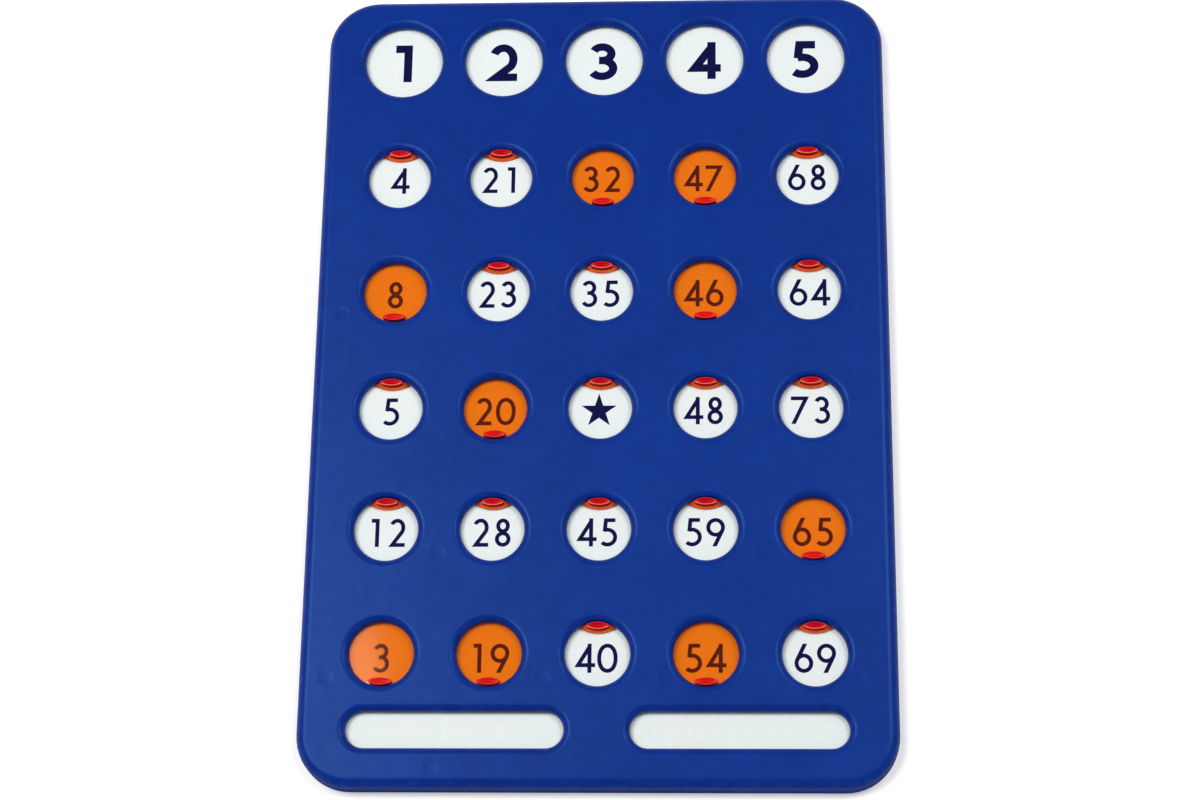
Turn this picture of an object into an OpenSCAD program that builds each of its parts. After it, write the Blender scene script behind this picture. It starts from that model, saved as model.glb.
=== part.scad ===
// A bingo card with sliding shutters. A moulded shell holds a printed card behind
// round windows, a back cover is pegged into the shell, and a shutter with a finger
// nub slides over each number window. The card lies on its back: X runs across it,
// Y along it towards the header windows, and Z comes out of its face. The origin is
// the middle of the back.

/* [Windows] */
// Diameter of a number window at its narrowest
window_d = 18; // [14:0.5:22]
// How much wider a header window is
header_extra = 4.8; // [0:0.2:6]
// Rounding of every window's rim
rim_r = 2.1; // [0.5:0.1:2.2]
// Length of a label window
label_l = 60; // [40:1:66]
// Width of a label window
label_w = 10; // [6:0.5:12]

/* [Spacing] */
// Between the guide rails of two neighbouring columns
column_gap = 8; // [5.5:0.1:12]
// Between an open shutter and the closed one above it
row_gap = 0.9; // [0.4:0.1:8]
// Between an open shutter of the first row and the header window above it
header_gap = 1.5; // [0.5:0.25:10]
// Between the outer guide rails and the side edges
side_gap = 11.75; // [9:0.05:18]
// Between the header windows and the top edge
top_gap = 8.6; // [7:0.1:18]
// Between the last row's windows and the label windows
last_row_gap = 7.3; // [5:0.1:20]
// Between the two label windows
label_gap = 18.2; // [10:0.2:26]
// Between the label windows and the bottom edge
label_edge = 11.3; // [9.5:0.1:16]

/* [Shell] */
// Thickness of the face
face_t = 2.2; // [2.1:0.1:3]
// Thickness of the side walls
wall_t = 2; // [1.2:0.1:3]
// Rounding between the face and the sides
edge_r = 3; // [1:0.25:4]
// Radius of the four corners, seen from the front
corner_r = 15; // [8:0.5:20]
// Width of the guide rails under the face
rail_w = 1.2; // [0.8:0.1:2]

/* [Back cover and printed card] */
// Thickness of the back cover's plate
back_t = 1.5; // [1:0.1:2.5]
// Height of the ribs that carry the printed card
rib_h = 1.9; // [1:0.1:4]
// Width of those ribs
rib_w = 1.6; // [0.8:0.1:2.4]
// Thickness of the printed card
card_t = 0.4; // [0.3:0.05:1]
// Space between the printed card and the edges around it
card_play = 0.4; // [0.2:0.05:0.8]
// Space around the back cover in the shell
cover_play = 0.1; // [0.05:0.05:0.3]

/* [Shutters] */
// Height of the track between the printed card and the face
track_h = 1; // [0.8:0.1:2]
// Space above and below a shutter in its track
track_play = 0.1; // [0.05:0.05:0.2]
// Space between a shutter and the rail on each side
rail_play = 0.2; // [0.1:0.05:0.4]
// How far a closed shutter reaches past the window's edge
overlap = 0.6; // [0.5:0.05:1.4]
// Radius of a shutter's two upper corners
plate_corner_r = 1.5; // [0.5:0.1:3]
// Space between the nub and the window's edge at both ends of its travel
stop_play = 0.1; // [0.1:0.05:0.4]

/* [Finger nub] */
// Width of the nub, across the travel
nub_w = 6.4; // [5:0.1:7.2]
// Depth of the nub, along the travel
nub_d = 2.1; // [1.8:0.1:3.4]
// Radius of the nub's two narrow ends
nub_tip_r = 0.5; // [0.4:0.05:0.8]
// Rounding of the nub's top edge
nub_edge_r = 0.2; // [0.1:0.05:0.25]
// How far the nub's top stays below the face
nub_sink = 0.4; // [0:0.1:1]
// Width of the crest around the dish in the nub's top
crest_w = 0.4; // [0.35:0.05:0.6]
// Depth of that dish
dish_h = 0.3; // [0.1:0.05:0.4]

/* [Posts and pegs] */
// Diameter of the shell's posts
post_d = 5; // [4:0.25:6]
// Diameter of the back cover's pegs
peg_d = 2.6; // [1.6:0.1:3]
// Height of the pegs above the back cover's plate
peg_h = 2.4; // [1.5:0.1:3]
// Length of the cone at a peg's end
peg_lead = 0.4; // [0.2:0.1:0.6]
// Space around a peg in its post
peg_play = 0.05; // [0.03:0.01:0.1]
// How far the posts lie below the centres of their row
post_drop = 7; // [6:0.5:8]
// From the lowest posts' centres to the bottom edge
low_post_edge = 6.7; // [6:0.1:7]

/* [Hidden] */
$fn = 96;
columns = "bingo";
rows = 5;
// The shutters that stand closed
closed_places = ["b2", "b5", "i3", "i5", "n1", "g1", "g2", "g5", "o4"];
// Lines of posts: the row, with 0 for the header, and the places across as shares of the column pitch
wide_post_shares = [-2.5, -0.5, 0.5, 2.5];
narrow_post_shares = [-1.5, 1.5];
post_rows = [
    [0, wide_post_shares], [1, narrow_post_shares], [2, wide_post_shares],
    [4, narrow_post_shares], [5, wide_post_shares]
];
// Where the discs that shape a nub have their centres, as shares of the outer ones' distance
disc_shares = [-1, -1 / 3, 0, 1 / 3, 1];
// How far a cut runs past the material that it removes
overrun = 1;

card_z = back_t + rib_h;
track_z = card_z + card_t;
face_z = track_z + track_h;
body_h = face_z + face_t;
// The rim never takes the whole face, so a short straight wall is left below it
rim = min(rim_r, face_t - face_t / 25);

plate_r = window_d / 2 + overlap;
plate_t = track_h - 2 * track_play;
plate_z = track_z + track_play;
nub_low = window_d / 2 - stop_play;
nub_y = nub_d / 2 - nub_low;
travel = 2 * nub_low - nub_d;
nub_h = body_h - nub_sink - plate_z - plate_t;

// The windows are spaced so that every shutter has room for its travel
header_d = window_d + header_extra;
rail_x = plate_r + rail_play;
col_pitch = 2 * (rail_x + rail_w) + column_gap;
row_pitch = 2 * plate_r + travel + row_gap;
header_pitch = header_d / 2 + header_gap + travel + plate_r;
side_margin = rail_x + rail_w + side_gap;
top_margin = header_d / 2 + top_gap;
bottom_margin = window_d / 2 + last_row_gap + label_w + label_edge;

body_w = (len(columns) - 1) * col_pitch + 2 * side_margin;
body_l = top_margin + header_pitch + (rows - 1) * row_pitch + bottom_margin;
header_y = body_l / 2 - top_margin;
label_y = label_edge + label_w / 2 - body_l / 2;
label_x = (label_l + label_gap) / 2;
rail_top = header_y - header_pitch + plate_r + travel + rail_w;
rail_bottom = row_y(rows) - plate_r - rail_w;

cavity_w = body_w - 2 * wall_t;
cavity_l = body_l - 2 * wall_t;
cavity_r = corner_r - wall_t;
card_w = cavity_w - 2 * card_play;
card_l = cavity_l - 2 * card_play;

post_places = concat(
    [for (line = post_rows, share = line[1]) [share * col_pitch, line_y(line[0]) - post_drop]],
    [for (share = narrow_post_shares) [share * col_pitch, low_post_edge - body_l / 2]]
);
bore_h = peg_h + peg_lead;

function col_x(c) = (c - (len(columns) - 1) / 2) * col_pitch;
function row_y(r) = header_y - header_pitch - (r - 1) * row_pitch;
function line_y(r) = r == 0 ? header_y : row_y(r);
function place_name(c, r) = str(columns[c], r);
function shutter_name(c, r) = str("shutter_", place_name(c, r));
function is_closed(c, r) = len([for (p = closed_places) if (p == place_name(c, r)) p]) > 0;

// A flat rectangle with round corners, about the origin
module rounded_rect(w, l, r) {
    square([w - 2 * r, l], center = true);
    square([w, l - 2 * r], center = true);
    for (x = [-1, 1], y = [-1, 1])
        translate([x * (w / 2 - r), y * (l / 2 - r)]) circle(r = r);
}

// Section through the shell's edge, from x = 0 out to its side wall
module edge_section(reach) {
    square([reach - edge_r, body_h]);
    square([reach, body_h - edge_r]);
    translate([reach - edge_r, body_h - edge_r]) circle(r = edge_r);
}

// The shell's outside as a solid block: a long slab, two end slabs and four turned corners
module shell_block() {
    corner_x = body_w / 2 - corner_r;
    corner_y = body_l / 2 - corner_r;
    for (side = [0, 1])
        mirror([side, 0, 0]) rotate([90, 0, 0])
            linear_extrude(height = 2 * corner_y, center = true) edge_section(body_w / 2);
    for (end = [0, 1])
        mirror([0, end, 0]) translate([0, corner_y, 0]) rotate([90, 0, 90])
            linear_extrude(height = 2 * corner_x, center = true) edge_section(corner_r);
    for (side = [0, 1], end = [0, 1])
        mirror([side, 0, 0]) mirror([0, end, 0]) translate([corner_x, corner_y, 0])
            rotate_extrude(angle = 90) edge_section(corner_r);
}

// Section through a window's wall and its round rim, from the window's middle out,
// with y = 0 at the underside of the face
module window_section(reach) {
    translate([0, -overrun]) square([reach, face_t + 2 * overrun]);
    difference() {
        translate([0, face_t - rim]) square([reach + rim, rim + overrun]);
        translate([reach + rim, face_t - rim]) circle(r = rim);
    }
}

// The space that a round window takes out of the face
module round_window(d) {
    rotate_extrude() window_section(d / 2);
}

// The space that a label window takes out of the face
module label_window() {
    straight = label_l - label_w;
    for (side = [0, 1])
        mirror([side, 0, 0]) translate([straight / 2, 0, 0])
            rotate([0, 0, -90]) rotate_extrude(angle = 180) window_section(label_w / 2);
    for (side = [0, 1])
        mirror([0, side, 0]) rotate([90, 0, 90])
            linear_extrude(height = straight, center = true) window_section(label_w / 2);
}

// The two rails that guide a column of shutters
module column_rails() {
    for (side = [0, 1])
        mirror([side, 0, 0]) translate([rail_x, rail_bottom, track_z])
            cube([rail_w, rail_top - rail_bottom, track_h + face_t / 2]);
}

module front_shell() {
    color("mediumblue") difference() {
        union() {
            difference() {
                shell_block();
                translate([0, 0, -overrun])
                    linear_extrude(height = face_z + overrun)
                        rounded_rect(cavity_w, cavity_l, cavity_r);
            }
            for (c = [0 : len(columns) - 1]) translate([col_x(c), 0, 0]) column_rails();
            for (place = post_places)
                translate([place.x, place.y, back_t])
                    cylinder(d = post_d, h = face_z + face_t / 2 - back_t);
        }
        for (place = post_places)
            translate([place.x, place.y, back_t - overrun])
                cylinder(d = peg_d + 2 * peg_play, h = bore_h + overrun);
        for (c = [0 : len(columns) - 1]) {
            translate([col_x(c), header_y, face_z]) round_window(header_d);
            for (r = [1 : rows]) translate([col_x(c), row_y(r), face_z]) round_window(window_d);
        }
        for (side = [-1, 1]) translate([side * label_x, label_y, face_z]) label_window();
    }
}

// The printed card, with a hole for each post
module number_card() {
    color("white") translate([0, 0, card_z]) linear_extrude(height = card_t)
        difference() {
            rounded_rect(card_w, card_l, cavity_r - card_play);
            for (place = post_places) translate(place) circle(d = post_d + 2 * card_play);
        }
}

// Ribs under the printed card: a frame around it, one along each column and one between rows
module card_ribs() {
    frame_w = card_w - 2 * card_play;
    frame_l = card_l - 2 * card_play;
    frame_r = cavity_r - 2 * card_play;
    difference() {
        rounded_rect(frame_w, frame_l, frame_r);
        rounded_rect(frame_w - 2 * rib_w, frame_l - 2 * rib_w, frame_r - rib_w);
    }
    for (c = [0 : len(columns) - 1])
        translate([col_x(c), 0]) square([rib_w, frame_l - rib_w], center = true);
    for (r = [1 : rows + 1])
        translate([0, row_y(r) + row_pitch / 2]) square([frame_w - rib_w, rib_w], center = true);
}

module back_cover() {
    color("mediumblue") {
        linear_extrude(height = back_t)
            rounded_rect(cavity_w - 2 * cover_play, cavity_l - 2 * cover_play, cavity_r - cover_play);
        translate([0, 0, back_t / 2]) linear_extrude(height = card_z - back_t / 2) card_ribs();
        for (place = post_places) translate([place.x, place.y, back_t / 2]) {
            cylinder(d = peg_d, h = back_t / 2 + peg_h - peg_lead);
            translate([0, 0, back_t / 2 + peg_h - peg_lead])
                cylinder(d1 = peg_d, d2 = peg_d - 2 * peg_lead, h = peg_lead);
        }
    }
}

// Outline of a shutter's plate: round at the bottom, square at the top
module plate_outline() {
    circle(r = plate_r);
    translate([-plate_r, 0]) square([2 * plate_r, plate_r - plate_corner_r]);
    translate([plate_corner_r - plate_r, 0]) square([2 * (plate_r - plate_corner_r), plate_r]);
    for (x = [-1, 1])
        translate([x * (plate_r - plate_corner_r), plate_r - plate_corner_r])
            circle(r = plate_corner_r);
}

// A disc with a rounded top edge
module nub_disc(r, h) {
    rotate_extrude() {
        square([r - nub_edge_r, h]);
        square([r, h - nub_edge_r]);
        translate([r - nub_edge_r, h - nub_edge_r]) circle(r = nub_edge_r);
    }
}

// An oval nub of height h with a dish in its top. The oval is what large discs have in
// common: the outer two give its long sides, and all of them touch both of its tips
module nub(h) {
    tip_x = nub_w / 2 - nub_tip_r;
    half_d = nub_d / 2;
    side_rise = half_d - nub_tip_r;
    side_y = (tip_x * tip_x - side_rise * side_rise) / (2 * side_rise);
    dish_x = nub_w / 2 - crest_w;
    dish_y = half_d - crest_w;
    long_r = (dish_x * dish_x + dish_h * dish_h) / (2 * dish_h);
    short_r = (dish_y * dish_y + dish_h * dish_h) / (2 * dish_h);
    difference() {
        intersection_for (share = disc_shares)
            translate([0, share * side_y, 0])
                nub_disc(norm([tip_x, share * side_y]) + nub_tip_r, h);
        translate([0, 0, h - dish_h + long_r]) rotate([90, 0, 0])
            rotate_extrude() translate([long_r - short_r, 0]) circle(r = short_r);
    }
}

// A shutter where it stands at rest, closed over its number or drawn up clear of it
module shutter(c, r) {
    open_by = is_closed(c, r) ? 0 : travel;
    color("orange") translate([col_x(c), row_y(r) + open_by, plate_z]) {
        linear_extrude(height = plate_t) plate_outline();
        translate([0, nub_y, plate_t]) nub(nub_h);
    }
}

front_shell();
number_card();
back_cover();
for (c = [0 : len(columns) - 1], r = [1 : rows])
    shutter(c, r);
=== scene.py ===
"""Looks of the bingo card: finishes, printing, light and camera.

Lengths are millimetres and become metres where a mesh is made. Only the floor, the lamps and the
camera are given in metres. x runs across the card, y up the card and z out of its face. The flat
back lies at z = 0, on the floor.
"""

from collections import namedtuple

import bpy
import numpy as np
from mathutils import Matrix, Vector


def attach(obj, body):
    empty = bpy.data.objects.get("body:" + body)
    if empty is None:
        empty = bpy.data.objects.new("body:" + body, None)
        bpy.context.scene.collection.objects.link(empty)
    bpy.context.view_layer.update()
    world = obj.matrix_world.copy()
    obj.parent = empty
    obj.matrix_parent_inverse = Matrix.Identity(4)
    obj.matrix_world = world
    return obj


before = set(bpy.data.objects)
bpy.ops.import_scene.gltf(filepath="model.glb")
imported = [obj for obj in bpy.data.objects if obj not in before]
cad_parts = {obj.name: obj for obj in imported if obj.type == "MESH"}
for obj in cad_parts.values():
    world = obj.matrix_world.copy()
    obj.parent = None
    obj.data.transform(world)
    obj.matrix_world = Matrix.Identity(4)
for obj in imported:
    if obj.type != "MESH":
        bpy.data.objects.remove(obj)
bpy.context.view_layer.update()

MM = 0.001

# Where the windows are, and what is printed behind them. The place with no number is the free one.
COLUMNS = "bingo"
COLUMN_PITCH = 30.0
ROW_PITCH = 35.8
FIRST_ROW_Y = 61.3
HEADER_Y = 99.5
NUMBERS = {
    "b": (4, 8, 5, 12, 3),
    "i": (21, 23, 20, 28, 19),
    "n": (32, 35, None, 45, 40),
    "g": (47, 46, 48, 59, 54),
    "o": (68, 64, 73, 65, 69),
}
# The sheet was printed a little out of step with the windows.
COLUMN_DRIFT = (-0.12, -0.25, -0.42, -0.40, 0.0)
ROW_DRIFT = (0.2, -0.2, -0.3, -0.5, -0.85)
HEADER_DRIFT_X = -0.35
HEADER_DRIFT_Y = 0.35

# The face has faint round sinks over the posts behind it, in rows: half and two and a half column
# pitches from the middle in the outer rows, and one and a half pitches in the inner rows. The
# lowest row lies a little below the middle of its posts.
OUTER_SINK_ROWS = (92.5, 18.5, -88.9)
INNER_SINK_ROWS = (54.3, -53.1, -114.0)

# Heights above the flat back. The side wall is upright up to WALL_TOP and rounded from there.
CARD_TOP = 3.8
PLATE_TOP = 4.7
NUB_TOP = 6.6
WALL_TOP = 4.0
FACE_TOP = 7.0

# The nub's middle stands NUB_REACH below the middle of a closed window, and as far above in an
# open one.
NUB_REACH = 7.85
NUB_HALF_X = 3.2
NUB_HALF_Y = 1.05
CLOSED = ("b2", "b5", "i3", "i5", "n1", "g1", "g2", "g5", "o4")

# The ink lies on the card, under the shutters, and starts a little below the card's top.
INK_BELOW = 0.01
INK_ABOVE = 0.02
INK_STEP = 0.0015

# A digit is drawn 8 high, about a centreline with half a stroke to either side.
TALL = 8.0
TAIL_LEAN = np.radians(64.5)
DIGIT_PITCH = 6.25
DIGIT_WIDTH = {0: 5.5, 1: 2.2, 2: 4.3, 3: 4.3, 4: 5.6, 5: 4.65, 6: 5.0, 7: 5.05, 8: 4.3, 9: 5.1}
NUMBER_HALF = 0.55
NUMBER_SCALE = 1.03
HEADING_WIDTH = {1: 3.3, 2: 5.5, 3: 5.5, 4: 6.7, 5: 5.5}
HEADING_HALF = 0.82
HEADING_SCALE = 12.2 / TALL

# The star's edges line up in pairs when its notches lie at this share of the tips' distance.
STAR_TIP = 5.3
STAR_NOTCH = 0.382

# Lamps: name, direction from the card's middle, width in metres, and power in watts.
LAMP_DISTANCE = 1.2
LAMPS = (
    ("soft_key", (-0.415, 0.09, 0.90), 0.62, 8.6),
    ("soft_fill", (0.42, 0.22, 0.88), 0.50, 4.9),
)
WORLD_LIGHT = 0.26
FLOOR_REACH = 4.0

# A centreline, the directions in which its two ends are cut, and whether it closes on itself.
Stroke = namedtuple("Stroke", "path start stop closed", defaults=(None, None, False))


def linear(red, green, blue):
    """A colour as a screen shows it, 0 to 255, as the linear numbers that a shader takes."""
    shown = np.array((red, green, blue)) / 255
    light = np.where(shown <= 0.04045, shown / 12.92, ((shown + 0.055) / 1.055) ** 2.4)
    return (*(float(part) for part in light), 1.0)


# Centrelines of the digits. Each digit is drawn w wide and TALL high with strokes of half width h.


def arc(centre, radii, start, stop):
    """Points of an ellipse: centre plus radii times cosine and sine of an angle from start to stop."""
    count = max(3, int(abs(stop - start) / 6) + 2)
    turn = np.radians(np.linspace(start, stop, count))
    return np.array(centre) + np.array(radii) * np.column_stack((np.cos(turn), np.sin(turn)))


def joined(*parts):
    """One path from arcs and single points, end to end."""
    return np.vstack([np.atleast_2d(part) for part in parts])


def ring(centre, radii, squareness=2.0):
    """A closed oval: cosine and sine, each to the power 2 / squareness with its sign kept, times radii."""
    turn = np.radians(np.arange(0, 360, 6))
    side = np.column_stack((np.cos(turn), np.sin(turn)))
    path = np.array(centre) + np.array(radii) * np.sign(side) * np.abs(side) ** (2 / squareness)
    return Stroke(path, closed=True)


def zero(w, h):
    """A tall ring, a little squarer than an ellipse."""
    return [ring((w / 2, TALL / 2), (w / 2 - h, TALL / 2 - h), 2.15)]


def one(w, h):
    """A level flag and an upright stem at its right end."""
    top, stem = TALL - h, w - h
    return [Stroke(joined((0, top), (stem, top), (stem, 0)))]


def two(w, h):
    """A round head, a taller arc down its right side, a slope and a level foot."""
    top, r = TALL - h, w / 2 - h
    shoulder = top - 1.25 * r
    left = arc((w / 2, top - r), (r, r), 160, 90)
    right = arc((w / 2, shoulder), (r, top - shoulder), 84, -42)
    foot = h / np.tan(np.radians(27)) - 0.25
    return [Stroke(joined(left, right, (foot, h), (w, h)))]


def three(w, h):
    """Two bowls one above the other, the upper one a little narrower, with a bar between them."""
    top, waist, axis = TALL - h, 4.25, 0.455 * w
    upper, lower = (top - waist) / 2, (waist - h) / 2
    high = arc((axis, waist + upper), (0.93 * w - h - axis, upper), 155, -90)
    low = arc((axis, h + lower), (w - h - axis, lower), 211, 450)
    return [Stroke(joined(high, (0.34 * w, waist))), Stroke(low)]


def four(w, h):
    """A sharp triangle on a stem. The slope's outer edge runs from the bar's left end to the stem's top."""
    bar_low, past_stem = 1.55, 1.0
    stem = w - h - past_stem
    top = stem - 0.26 * h
    slope = np.arctan2(TALL - bar_low, top)
    corner = np.array((h / np.tan(slope / 2), bar_low + h))
    start = (top, corner[1] + (top - corner[0]) * np.tan(slope))
    return [
        Stroke(joined(start, corner, (w, corner[1])), start=(0, 1)),
        Stroke(joined((stem, TALL), (stem, 0))),
    ]


def five(w, h):
    """A level top and a leaning neck, and a bowl that starts where the neck ends."""
    top, axis, level = TALL - h, 0.43 * w, 2.65
    shoulder = 1.0 + h
    bowl = arc((axis, level), (w - h - axis, level - h), 115, -135)
    neck = joined((0.89 * w, top), (shoulder, top), (shoulder - 0.34, 4.25))
    return [Stroke(neck), Stroke(bowl)]


def six(w, h):
    """A ring with a straight tail, which meets its left side as a tangent and ends level at the top."""
    lean = 1 / np.tan(TAIL_LEAN)
    middle = 2.64
    rx, ry = w / 2 - h, middle - h
    touch = np.pi - np.arctan(lean * ry / rx)
    foot = np.array((w / 2 + rx * np.cos(touch), middle + ry * np.sin(touch)))
    tip = (foot[0] + lean * (TALL - foot[1]), TALL)
    return [ring((w / 2, middle), (rx, ry)), Stroke(joined(foot, tip), stop=(1, 0))]


def seven(w, h):
    """A level top and a leaning leg, which is cut level at the foot."""
    top = TALL - h
    knee, foot = w - h / np.sin(TAIL_LEAN) - np.array((h, TALL)) / np.tan(TAIL_LEAN)
    return [Stroke(joined((0, top), (knee, top), (foot, 0)), stop=(1, 0))]


def eight(w, h):
    """A narrower ring on a wider one. Their strokes overlap at the waist."""
    upper_low, lower_high = 4.4, 3.8
    upper, lower = (TALL - h - upper_low) / 2, (lower_high - h) / 2
    return [
        ring((w / 2, upper_low + upper), (0.435 * w - h, upper)),
        ring((w / 2, h + lower), (w / 2 - h, lower)),
    ]


def nine(w, h):
    """A six turned by half a circle."""
    return [stroke._replace(path=np.array((w, TALL)) - stroke.path) for stroke in six(w, h)]


DIGITS = (zero, one, two, three, four, five, six, seven, eight, nine)


# Meshes of the printing, and the piece made of them.


def ribbon(stroke, half, low, high):
    """A flat slab along a stroke: each point carries a four-cornered section of its width and height.

    At a bend the section lies on the line that halves the bend, and is longer by one over the
    cosine of half the bend, so the edges stay half a width from the path. The stroke's start and
    stop turn the end sections. Returns the vertices and the faces, which point outwards.
    """
    path = stroke.path
    ahead = np.diff(np.vstack((path, path[:1])) if stroke.closed else path, axis=0)
    ahead /= np.linalg.norm(ahead, axis=1)[:, None]
    across = np.column_stack((-ahead[:, 1], ahead[:, 0]))
    if stroke.closed:
        after, before = across, np.roll(across, 1, axis=0)
    else:
        after, before = np.vstack((across, across[-1:])), np.vstack((across[:1], across))
    halving = after + before
    if stroke.start is not None:
        halving[0] = stroke.start
    if stroke.stop is not None:
        halving[-1] = stroke.stop
    reach = halving * (half / np.sum(halving * after, axis=1))[:, None]
    sides = np.stack((path - reach, path + reach, path + reach, path - reach), axis=1)
    levels = np.broadcast_to(np.array((low, low, high, high)), sides.shape[:2])
    vertices = np.concatenate((sides, levels[..., None]), axis=2).reshape(-1, 3)
    index = np.arange(len(vertices)).reshape(-1, 4)
    here, there = (index, np.roll(index, -1, axis=0)) if stroke.closed else (index[:-1], index[1:])
    walls = np.stack((here, np.roll(here, -1, axis=1), np.roll(there, -1, axis=1), there), axis=2)
    faces = walls.reshape(-1, 4).tolist()
    if not stroke.closed:
        faces += [index[0, ::-1].tolist(), index[-1].tolist()]
    return vertices, faces


def star(tip, low, high):
    """A five-pointed star as a slab: ten corners, tips and notches in turn, at even angles.

    A point in the middle of the top and of the bottom closes them with a fan.
    """
    count = 10
    corner = np.arange(count)
    turn = np.radians(90 + 360 / count * corner)
    far = np.where(corner % 2 == 0, tip, STAR_NOTCH * tip)
    rim = np.column_stack((far * np.cos(turn), far * np.sin(turn)))
    bottom = np.column_stack((rim, np.full(count, low)))
    lid = np.column_stack((rim, np.full(count, high)))
    vertices = np.vstack((bottom, lid, (0, 0, low), (0, 0, high)))
    after = np.roll(corner, -1)
    under, over = np.full(count, 2 * count), np.full(count, 2 * count + 1)
    faces = np.column_stack((corner, after, after + count, corner + count)).tolist()
    faces += np.column_stack((after, corner, under)).tolist()
    faces += np.column_stack((corner + count, after + count, over)).tolist()
    return vertices, faces


def piece(name, parts, finish, body):
    """One object from several (vertices, faces) pairs in millimetres, riding on a body of the model."""
    starts = np.cumsum([0] + [len(vertices) for vertices, _ in parts])
    vertices = np.vstack([vertices for vertices, _ in parts]) * MM
    faces = [[i + first for i in face] for first, (_, some) in zip(starts, parts) for face in some]
    mesh = bpy.data.meshes.new(name)
    mesh.from_pydata(vertices.tolist(), [], faces)
    mesh.update()
    mesh.materials.append(finish)
    made = bpy.data.objects.new(name, mesh)
    bpy.context.scene.collection.objects.link(made)
    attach(made, body)


def printed_digit(digit, centre, width, half, scale):
    """The ribbons of one digit about a centre on the card, each stroke a hair higher than the one before."""
    made = []
    for step, stroke in enumerate(DIGITS[digit](width, half)):
        placed = stroke._replace(path=(stroke.path - (width / 2, TALL / 2)) * scale + centre)
        top = CARD_TOP + INK_ABOVE + INK_STEP * step
        made.append(ribbon(placed, half * scale, CARD_TOP - INK_BELOW, top))
    return made


# Tools for the finishes.


class Value:
    """What a node gives out, so that shader maths reads as a sum. Each operator adds its Math node."""

    def __init__(self, graph, socket):
        self.graph, self.socket = graph, socket

    def math(self, operation, *values):
        """One Math node on some values, of which this is one."""
        return self.graph.node("Math", {"operation": operation}, dict(enumerate(values)))

    def __add__(self, other):
        return self.math("ADD", self, other)

    def __sub__(self, other):
        return self.math("SUBTRACT", self, other)

    def __rsub__(self, other):
        return self.math("SUBTRACT", other, self)

    def __mul__(self, other):
        return self.math("MULTIPLY", self, other)

    def __truediv__(self, other):
        return self.math("DIVIDE", self, other)

    def __pow__(self, other):
        return self.math("POWER", self, other)

    def __abs__(self):
        return self.math("ABSOLUTE", self)

    __radd__, __rmul__ = __add__, __mul__

    def least(self, other):
        return self.math("MINIMUM", self, other)

    def most(self, other):
        return self.math("MAXIMUM", self, other)

    def between(self, low, high):
        """0 up to low, 1 from high on, and a smooth step from one to the other."""
        limits = {"From Min": low, "From Max": high}
        settings = {"interpolation_type": "SMOOTHSTEP"}
        return self.graph.node("MapRange", settings, {"Value": self, **limits})


class Graph:
    """The nodes of one material or world."""

    def __init__(self, owner):
        owner.use_nodes = True
        self.tree = owner.node_tree
        self.tree.nodes.clear()

    def node(self, kind, settings=None, sockets=None, out=0):
        """Adds a node: first its settings, then a value or a link for each socket named or counted."""
        added = self.tree.nodes.new("ShaderNode" + kind)
        for setting, choice in (settings or {}).items():
            setattr(added, setting, choice)
        for socket, value in (sockets or {}).items():
            if isinstance(value, Value):
                self.tree.links.new(value.socket, added.inputs[socket])
            else:
                added.inputs[socket].default_value = value
        return Value(self, added.outputs[out]) if added.outputs else None

    def place(self):
        """Object coordinates, in metres, and the three of them one by one in millimetres."""
        at = self.node("TexCoord", out="Object")
        parts = [self.node("SeparateXYZ", sockets={0: at}, out=axis) / MM for axis in "XYZ"]
        return at, parts

    def drawn_out(self, at, share):
        """Coordinates that run at a share of their speed up the card, so that a pattern is drawn out."""
        return self.node("Mapping", sockets={"Vector": at, "Scale": (1.0, share, 1.0)})

    def repeat(self, value, pitch):
        """A value wound back to run from minus to plus half a pitch."""
        return value.math("WRAP", value, pitch / 2, -pitch / 2)

    def noise(self, at, size, detail=2.0, roughness=0.5):
        """Cloudy noise from 0 to 1 about 0.5, with blots of a size in millimetres."""
        sockets = {"Vector": at, "Scale": 1 / (size * MM), "Detail": detail, "Roughness": roughness}
        return self.node("TexNoise", sockets=sockets)

    def blend(self, amount, one_colour, other):
        """A colour from one to the other by amount."""
        return self.node("Mix", {"data_type": "RGBA"}, {0: amount, 6: one_colour, 7: other}, out=2)

    def relief(self, height, depth=1.0):
        """A normal from a height that counts in units of depth, in millimetres."""
        return self.node("Bump", sockets={"Strength": 1.0, "Distance": depth * MM, "Height": height})

    def principled(self, sockets):
        """The one surface shader of a finish."""
        return self.node("BsdfPrincipled", sockets=sockets)

    def finish(self, shader, output="OutputMaterial"):
        """Makes a shader the surface of the material, or the light of the world."""
        self.node(output, sockets={"Surface": shader})


def material(name):
    """A new material and its empty graph."""
    made = bpy.data.materials.new(name)
    return made, Graph(made)


# The finishes.


def row_gap(y, rows):
    """How far y is from the nearest of some rows."""
    nearest, *others = [abs(y - row) for row in rows]
    for gap in others:
        nearest = nearest.least(gap)
    return nearest


def sink_gap(x, y):
    """How far a place on the face is from the middle of the nearest sink."""
    inner = abs(abs(x) - 1.5 * COLUMN_PITCH)
    outer = abs(inner - COLUMN_PITCH)
    to_inner = (inner ** 2 + row_gap(y, INNER_SINK_ROWS) ** 2) ** 0.5
    to_outer = (outer ** 2 + row_gap(y, OUTER_SINK_ROWS) ** 2) ** 0.5
    return to_inner.least(to_outer)


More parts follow.
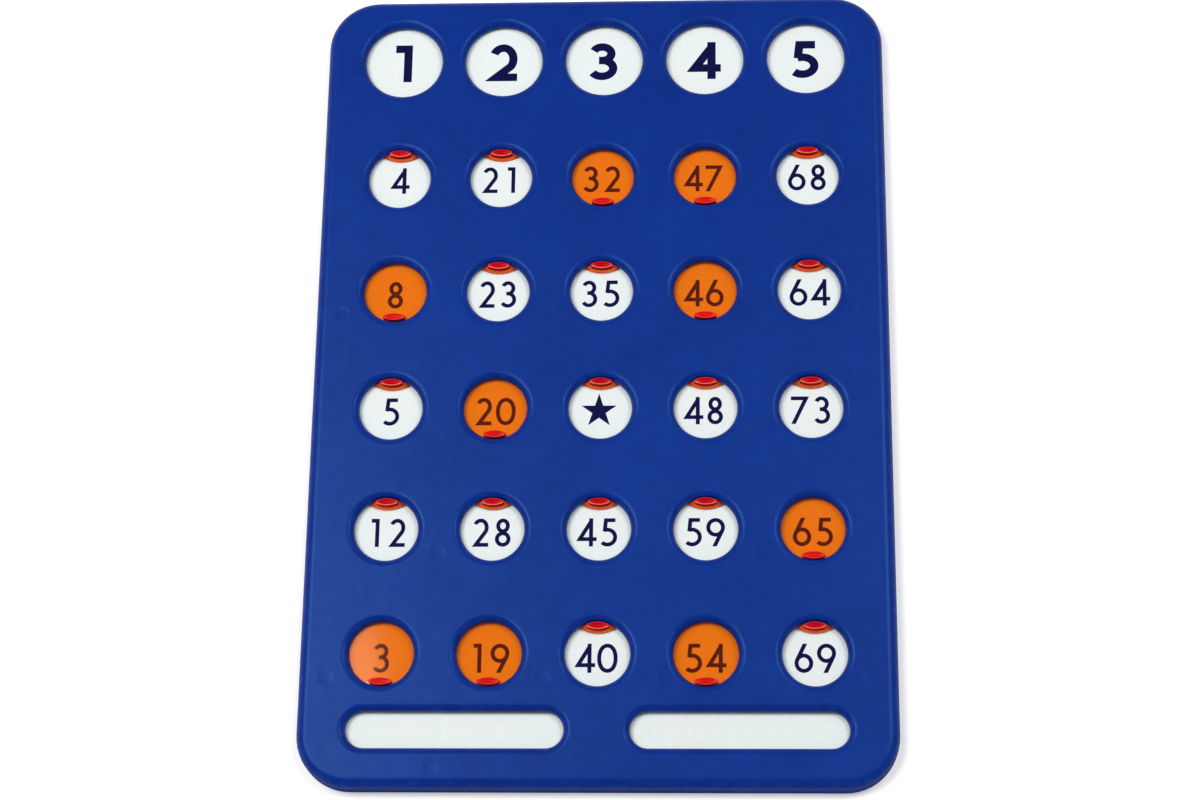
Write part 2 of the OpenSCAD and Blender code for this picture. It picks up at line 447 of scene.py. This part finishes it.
def moulded_blue():
    """Satin blue moulding: fine spark-worn grain, flow mottle, painted edge sheen, faint sinks over the
    posts.
    """
    made, g = material("moulded_blue")
    at, (x, y, z) = g.place()
    grain = g.noise(at, 0.55, 3, 0.6)
    flow = g.noise(at, 14, 3)
    ripple = g.noise(at, 4, 2)
    cloud = g.noise(at, 45, 2)
    edge_blotches = g.noise(at, 3.2, 4, 0.65)

    on_face = z.between(FACE_TOP - 0.05, FACE_TOP - 0.01)
    sink = (1 - sink_gap(x, y).between(0.9, 2.5)) * on_face
    edge = z.between(WALL_TOP + 0.2, WALL_TOP + 1.4) * (1 - z.between(FACE_TOP - 0.5, FACE_TOP - 0.05))
    # Painted sheen: blotches along the rounded side edge are blended to a lighter blue. The same blotches
    # are also a little glossier, as from handling.
    polish_and_sheen = edge * edge_blotches.between(0.42, 0.66)
    wall = 1 - z.between(WALL_TOP, WALL_TOP + 1.4)

    deep, pale, sheen_blue = linear(0, 29, 117), linear(0, 40, 133), linear(24, 66, 160)
    colour = g.blend((flow + cloud + ripple) * 0.9 - 0.85, deep, pale)
    g.finish(g.principled({
        "Base Color": g.blend(polish_and_sheen * 0.3, colour, sheen_blue),
        "Roughness": 0.27 + 0.08 * flow + 0.05 * grain - 0.04 * polish_and_sheen + 0.5 * wall,
        "Specular IOR Level": 0.28,
        "Specular Tint": (0.25, 0.56, 1.0, 1.0),
        "Normal": g.relief(grain * 0.014 + ripple * 0.036 + flow * 0.14 - sink * 0.05),
    }))
    return made


def fibres(g, at):
    """The short fibres of the card, drawn out up the card."""
    return g.noise(g.drawn_out(at, 0.35), 0.5, 4, 0.7)


def white_card():
    """Uncoated white board: short fibres, a fine tooth and a faint yellowing in clouds."""
    made, g = material("white_card")
    at, _ = g.place()
    fibre = fibres(g, at)
    tooth = g.noise(at, 0.9, 3, 0.6)
    cloud = g.noise(at, 22, 2)
    grey, white, yellowed = linear(226, 234, 232), linear(232, 239, 237), linear(230, 235, 230)
    colour = g.blend(fibre.between(0.35, 0.7), grey, white)
    g.finish(g.principled({
        "Base Color": g.blend(cloud.between(0.4, 0.8) * 0.4, colour, yellowed),
        "Roughness": 0.62 + 0.12 * tooth,
        "Specular IOR Level": 0.3,
        "Normal": g.relief(fibre * 0.6 + tooth * 0.4, 0.008),
    }))
    return made


def printing_ink():
    """Navy printing ink: a thin even film with slight mottle, and the card's fibres showing in it."""
    made, g = material("printing_ink")
    at, _ = g.place()
    mottle = g.noise(at, 0.8, 3, 0.6)
    full, thin = linear(6, 9, 58), linear(10, 15, 72)
    g.finish(g.principled({
        "Base Color": g.blend(mottle.between(0.35, 0.75), full, thin),
        "Roughness": 0.42 + 0.2 * mottle,
        "Specular IOR Level": 0.04,
        "Normal": g.relief(fibres(g, at), 0.008),
    }))
    return made


def clear_orange(name, nub_y, painted_glow_end, deep, pale, crest_highlight_share, foot):
    """Clear orange plastic: the thin plate tints what lies behind it, and the thick nub is deep red.

    The plate is mostly see-through, with a little red haze and gloss. Round the nub and at the cut
    edges a painted glow turns it orange red, standing for light that the edges gather, and a
    painted shadow makes it darker past the nub's two ends. Above the plate's top only the nub is
    left, which lets next to nothing through. Its crest carries a painted highlight, paler than its
    dish, and its wall is painted with a red of its own towards the plate: painted shade where that
    red is darker, painted light where it is brighter.
    nub_y is how far the nub's middle stands above the middle of its window, and painted_glow_end how
    far above the nub's middle the plate's painted glow ends. deep and pale are the nub's reds,
    crest_highlight_share is how far the lower half of its crest turns pale with the painted
    highlight, and foot is the painted red of its wall at the plate.
    """
    made, g = material(name)
    at, (x, y, z) = g.place()
    wave = g.noise(at, 9, 2)
    scuff = g.noise(g.drawn_out(at, 0.12), 0.6, 3, 0.6)
    upright = g.node("SeparateXYZ", sockets={0: g.node("NewGeometry", out="Normal")}, out="Z")
    across = g.repeat(x, COLUMN_PITCH)
    along = g.repeat(y - (FIRST_ROW_Y + nub_y), ROW_PITCH)
    nub = z.between(PLATE_TOP + 0.01, PLATE_TOP + 0.12)

    oval = ((across / NUB_HALF_X) ** 2 + (along / NUB_HALF_Y) ** 2) ** 0.5
    # Painted highlight: the crest is blended to a pale salmon, most on its lower half.
    crest_highlight = oval.between(0.70, 0.86) * z.between(NUB_TOP - 0.16, NUB_TOP - 0.06)
    lower = 1 - along.between(-0.5, 0.0)
    # Painted shade and light on the nub's wall: towards the plate its red is blended to foot. That red is
    # darker for shade on an open shutter and brighter for light on a closed one.
    painted_wall_mask = 1 - z.between(PLATE_TOP + 0.2, NUB_TOP - 0.5)
    red = g.blend(wave.between(0.3, 0.7), deep, pale)
    red = g.blend(crest_highlight * (0.1 + (crest_highlight_share - 0.1) * lower), red, linear(252, 128, 108))
    red = g.blend(painted_wall_mask * 0.8, red, foot)

    # Painted light and shadow on the plate: round the nub and along its cut edges an opaque orange red glow
    # stands for light that the edges gather, and past the nub's two ends the plate is painted dark red for
    # shadow.
    painted_glow_reach = 2.6
    painted_glow = 1 - ((abs(across) - NUB_HALF_X).most(0) ** 2 + along ** 2) ** 0.5 / painted_glow_reach
    painted_glow = painted_glow.between(-0.1, 0.5) * (1 - along.between(painted_glow_end - 1.1, painted_glow_end))
    cut_edge_glow = (1 - abs(upright).between(0.3, 0.8)) * (1 - nub)
    painted_lip_light = (cut_edge_glow * 0.9).most(painted_glow)
    painted_end_shadow = abs(across).between(3.0, 4.6)
    haze, glow_red, shadow_red = linear(255, 22, 18), linear(255, 104, 44), linear(120, 10, 12)
    colour = g.blend(painted_lip_light, haze, g.blend(painted_end_shadow * 0.8, glow_red, shadow_red))
    surface = g.principled({
        "Base Color": g.blend(nub, colour, red),
        "Roughness": 0.09 + 0.05 * scuff + 0.14 * nub,
        "IOR": 1.5,
        "Specular IOR Level": 0.06,
        "Coat Weight": 0.8 * (1 - 0.98 * nub) * (1 - 0.97 * painted_lip_light),
        "Coat IOR": 2.6,
        "Coat Roughness": 0.06,
        "Normal": g.relief(wave * 0.8 + scuff * 0.05, 0.03),
    })
    tint = g.node("BsdfTransparent", sockets={"Color": (1.0, 0.686, 0.190, 1.0)})
    cover = (0.048 + 0.008 * scuff.between(0.55, 0.8) + 0.76 * painted_lip_light).most(0.985 * nub)
    g.finish(g.node("MixShader", sockets={0: cover, 1: tint, 2: surface}))
    return made


def dress_model():
    """Gives each node of the model its finish. A shutter's finish knows where its nub stands."""
    blue = moulded_blue()
    cad_finish = {"front_shell": blue, "back_cover": blue, "number_card": white_card()}
    # One plastic in two copies, each painted for the light where its nub stands. The closed nub is painted a
    # brighter red and the open one a darker red. The open one also has a stronger painted crest highlight
    # and a wider painted glow on its plate.
    orange_closed = clear_orange(
        "clear_orange_closed",
        nub_y=-NUB_REACH,
        painted_glow_end=0.2,
        deep=linear(206, 4, 6),
        pale=linear(222, 8, 10),
        crest_highlight_share=0.3,
        # Painted light: the closed nub's wall, in the rim's shadow, is painted bright red.
        foot=linear(255, 14, 26),
    )
    orange_open = clear_orange(
        "clear_orange_open",
        nub_y=NUB_REACH,
        painted_glow_end=3.0,
        deep=linear(180, 0, 12),
        pale=linear(196, 2, 16),
        crest_highlight_share=1.0,
        # Painted shade: the open nub's wall is painted dark red.
        foot=linear(132, 16, 20),
    )
    for name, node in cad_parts.items():
        orange = orange_closed if name.removeprefix("shutter_") in CLOSED else orange_open
        node.material_slots[0].material = cad_finish.get(name, orange)


# The printing.


def column_x(column):
    """Where the middle of a column of windows lies across the card."""
    return (column - len(COLUMNS) // 2) * COLUMN_PITCH


def print_numbers(ink):
    """The plain number behind each window that has one, as one piece."""
    ribbons = []
    for column, letter in enumerate(COLUMNS):
        for row, number in enumerate(NUMBERS[letter]):
            if number is None:
                continue
            x = column_x(column) + COLUMN_DRIFT[column]
            y = FIRST_ROW_Y - row * ROW_PITCH + ROW_DRIFT[row]
            digits = [int(sign) for sign in str(number)]
            for place, digit in enumerate(digits):
                centre = (x + (place - (len(digits) - 1) / 2) * DIGIT_PITCH, y)
                width = DIGIT_WIDTH[digit]
                ribbons += printed_digit(digit, centre, width, NUMBER_HALF, NUMBER_SCALE)
    piece("printed_numbers", ribbons, ink, "card")


def print_headings(ink):
    """A plain number, 1 to 5, behind each header window, as one piece."""
    ribbons = []
    for column in range(len(COLUMNS)):
        centre = (column_x(column) + HEADER_DRIFT_X, HEADER_Y + HEADER_DRIFT_Y)
        digit = column + 1
        ribbons += printed_digit(digit, centre, HEADING_WIDTH[digit], HEADING_HALF, HEADING_SCALE)
    piece("printed_headings", ribbons, ink, "card")


def print_star(ink):
    """A plain star behind the free window, which is the middle one."""
    corners, sides = star(STAR_TIP, CARD_TOP - INK_BELOW, CARD_TOP + INK_ABOVE)
    middle = (COLUMN_DRIFT[2], FIRST_ROW_Y - 2 * ROW_PITCH + ROW_DRIFT[2], 0)
    piece("printed_star", [(corners + middle, sides)], ink, "card")


# Floor, light and camera.


def lay_floor():
    """A square pale floor under the card, which the camera sees a little brighter than it is lit."""
    left, right = -FLOOR_REACH, FLOOR_REACH
    corners = [(left, left, 0), (right, left, 0), (right, right, 0), (left, right, 0)]
    mesh = bpy.data.meshes.new("floor")
    mesh.from_pydata(corners, [], [(0, 1, 2, 3)])
    floor = bpy.data.objects.new("floor", mesh)
    bpy.context.scene.collection.objects.link(floor)
    paper, g = material("pale_floor")
    bare = g.node("BsdfDiffuse", sockets={"Color": (0.88, 0.88, 0.88, 1.0)})
    lift = 0.3 * g.node("LightPath", out="Is Camera Ray")
    lifted = g.node("Emission", sockets={"Color": (1.0, 1.0, 1.0, 1.0), "Strength": lift})
    g.finish(g.node("AddShader", sockets={0: bare, 1: lifted}))
    mesh.materials.append(paper)


def light_world():
    """Even daylight, dim on the object, and white where the camera, gloss or clear plastic shows it."""
    world = bpy.data.worlds.new("soft_daylight")
    bpy.context.scene.world = world
    g = Graph(world)
    camera, gloss, through = [
        g.node("LightPath", out=f"Is {ray} Ray") for ray in ("Camera", "Glossy", "Transmission")
    ]
    strength = WORLD_LIGHT + (1 - WORLD_LIGHT) * camera.most(gloss).most(through)
    sky = g.node("Background", sockets={"Color": (1.0, 1.0, 1.0, 1.0), "Strength": strength})
    g.finish(sky, "OutputWorld")


def hang_lamps():
    """Round soft lamps above the card, each turned to face its middle."""
    for name, direction, width, watts in LAMPS:
        bulb = bpy.data.lights.new(name, "AREA")
        bulb.shape = "DISK"
        bulb.size = width
        bulb.energy = watts
        lamp = bpy.data.objects.new(name, bulb)
        towards = Vector(direction).normalized()
        lamp.location = towards * LAMP_DISTANCE
        lamp.rotation_euler = towards.to_track_quat("Z", "Y").to_euler()
        bpy.context.scene.collection.objects.link(lamp)


def set_camera():
    """A camera where the photograph's stood, as fitted to the outlines of the round windows."""
    lens = bpy.data.cameras.new("camera")
    lens.sensor_width = 36
    lens.lens = 77.387
    camera = bpy.data.objects.new("camera", lens)
    camera.location = (0.035366, -0.246218, 0.700966)
    camera.rotation_euler = (0.330357, 0.047125, 0.011167)
    bpy.context.scene.collection.objects.link(camera)
    bpy.context.scene.camera = camera


dress_model()
navy = printing_ink()
print_numbers(navy)
print_headings(navy)
print_star(navy)
lay_floor()
light_world()
hang_lamps()
set_camera()
bpy.context.scene.view_settings.view_transform = "Standard"
